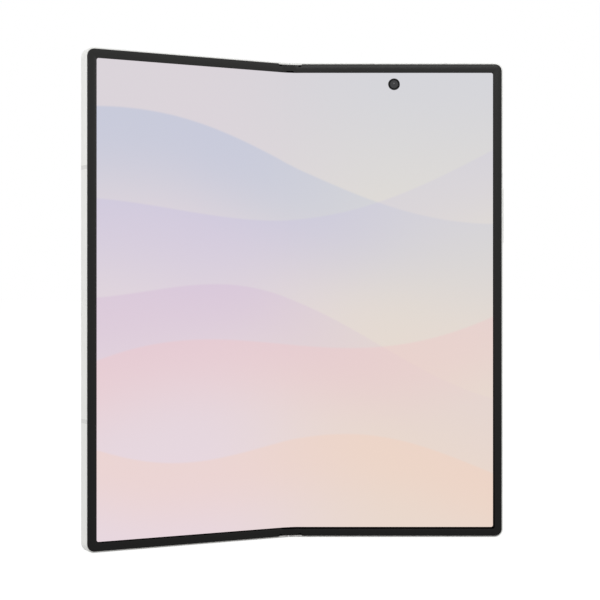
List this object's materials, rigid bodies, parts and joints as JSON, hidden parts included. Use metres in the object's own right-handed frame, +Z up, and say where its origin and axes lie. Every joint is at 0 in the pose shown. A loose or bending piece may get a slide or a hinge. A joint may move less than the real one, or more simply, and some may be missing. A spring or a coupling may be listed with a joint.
{
  "type": "foldable smartphone",
  "caption": "Book-style foldable smartphone, standing part open: two thin halves on a geared spine hinge, inner display across the fold, keys that press and a card tray.",
  "frame": {"origin": "middle of the part's footprint, at the level of the bottom edges that it stands on", "axes": "+Z up along the fold, +X across the right half towards its outer edge, +Y away from the viewer of the open display"},
  "size_m": [0.1372, 0.0402, 0.1584],
  "materials": {
    "frame": "fine blasted, anodised off-white",
    "antenna_plastic": "satin, flush with the frame",
    "plate_metal": "milled",
    "back_glass": "frosted off-white glass",
    "island_metal": "fine blasted, anodised off-white",
    "bezel": "satin black",
    "display": "glossy flexible cover over a lit pastel picture",
    "battery": "wrapped pouch",
    "circuit_board": "solder mask",
    "part_black": "moulded",
    "lens": "coated lens",
    "ring_metal": "turned, satin",
    "flash_lens": "clear lens over a phosphor",
    "contact_metal": "plated",
    "copper": "lacquered copper",
    "hinge_steel": "sintered, tumbled",
    "screw_steel": "turned",
    "magnet": "nickel plated",
    "spine_metal": "fine blasted, anodised off-white",
    "cover_glass": "polished black glass"
  },
  "bodies": {
    "right_half": {"right_frame": "frame", "right_antenna_breaks": "antenna_plastic", "right_mid_plate": "plate_metal", "right_back_glass": "back_glass", "right_bezel": "bezel", "right_display_panel": "display", "right_battery": "battery", "main_board": "circuit_board", "board_shields": "plate_metal", "sub_board": "circuit_board", "inner_camera": "part_black", "inner_camera_lens": "lens", "camera_island": "island_metal", "rear_cameras": "part_black", "lens_rings": "ring_metal", "lens_glasses": "lens", "flash_lamp": "flash_lens", "loudspeaker": "part_black", "usb_shell": "plate_metal", "usb_tongue": "part_black", "vibration_motor": "plate_metal", "key_switches": "contact_metal", "right_hinge_arms": "hinge_steel", "right_hinge_screws": "screw_steel", "right_magnets": "magnet", "charging_coil": "copper", "right_board_screws": "screw_steel"},
    "spine": {"spine_cover": "spine_metal", "spine_end_caps": "spine_metal", "hinge_bases": "hinge_steel", "gear_shafts": "hinge_steel", "friction_washers": "contact_metal", "display_fold_zone": "display", "fold_bezel_top": "bezel", "fold_bezel_bottom": "bezel", "hinge_flex": "copper"},
    "left_half": {"left_frame": "frame", "left_antenna_breaks": "antenna_plastic", "left_mid_plate": "plate_metal", "cover_glass": "cover_glass", "cover_display": "part_black", "left_bezel": "bezel", "left_display_panel": "display", "left_battery": "battery", "left_board": "circuit_board", "cover_camera": "part_black", "earpiece": "part_black", "left_hinge_arms": "hinge_steel", "left_hinge_screws": "screw_steel", "left_magnets": "magnet", "card_reader": "plate_metal", "left_board_screws": "screw_steel"},
    "right_idler": {"right_idler_gears": "hinge_steel"},
    "left_idler": {"left_idler_gears": "hinge_steel"},
    "volume_key": {"volume_key": "frame"},
    "side_key": {"side_key": "frame"},
    "card_tray": {"card_tray": "frame"}
  },
  "joints": [
    {"name": "fold", "type": "hinge", "parent": "right_half", "child": "spine", "pos_m": [-0.00137, 0.01444, 0], "axis": [0, 0, 1], "range_deg": [-13.75, 76.25], "deforming": ["display_fold_zone", "fold_bezel_top", "fold_bezel_bottom", "hinge_flex"]},
    {"name": "left_fold", "type": "hinge", "parent": "spine", "child": "left_half", "pos_m": [-0.00526, 0.01349, 0], "axis": [0, 0, 1], "range_deg": [-13.75, 76.25]},
    {"name": "right_idler_turn", "type": "hinge", "parent": "spine", "child": "right_idler", "pos_m": [-0.00279, 0.01518, 0], "axis": [0, 0, 1], "range_deg": [-13.75, 76.25]},
    {"name": "left_idler_turn", "type": "hinge", "parent": "spine", "child": "left_idler", "pos_m": [-0.00434, 0.0148, 0], "axis": [0, 0, 1], "range_deg": [-76.25, 13.75]},
    {"name": "volume_key_press", "type": "slide", "parent": "right_half", "child": "volume_key", "axis": [-1, 0, 0], "range_m": [0, 0.00025], "stiffness_N_per_m": 4000, "springref_m": -0.0001},
    {"name": "side_key_press", "type": "slide", "parent": "right_half", "child": "side_key", "axis": [-1, 0, 0], "range_m": [0, 0.00025], "stiffness_N_per_m": 4000, "springref_m": -0.0001},
    {"name": "card_tray_pull", "type": "slide", "parent": "left_half", "child": "card_tray", "axis": [0, 0, 1], "range_m": [0, 0.017]}
  ],
  "couplings": [
    {"joint": "left_fold", "follows": "fold", "ratio": 1},
    {"joint": "right_idler_turn", "follows": "fold", "ratio": 1},
    {"joint": "left_idler_turn", "follows": "fold", "ratio": -1}
  ]
}
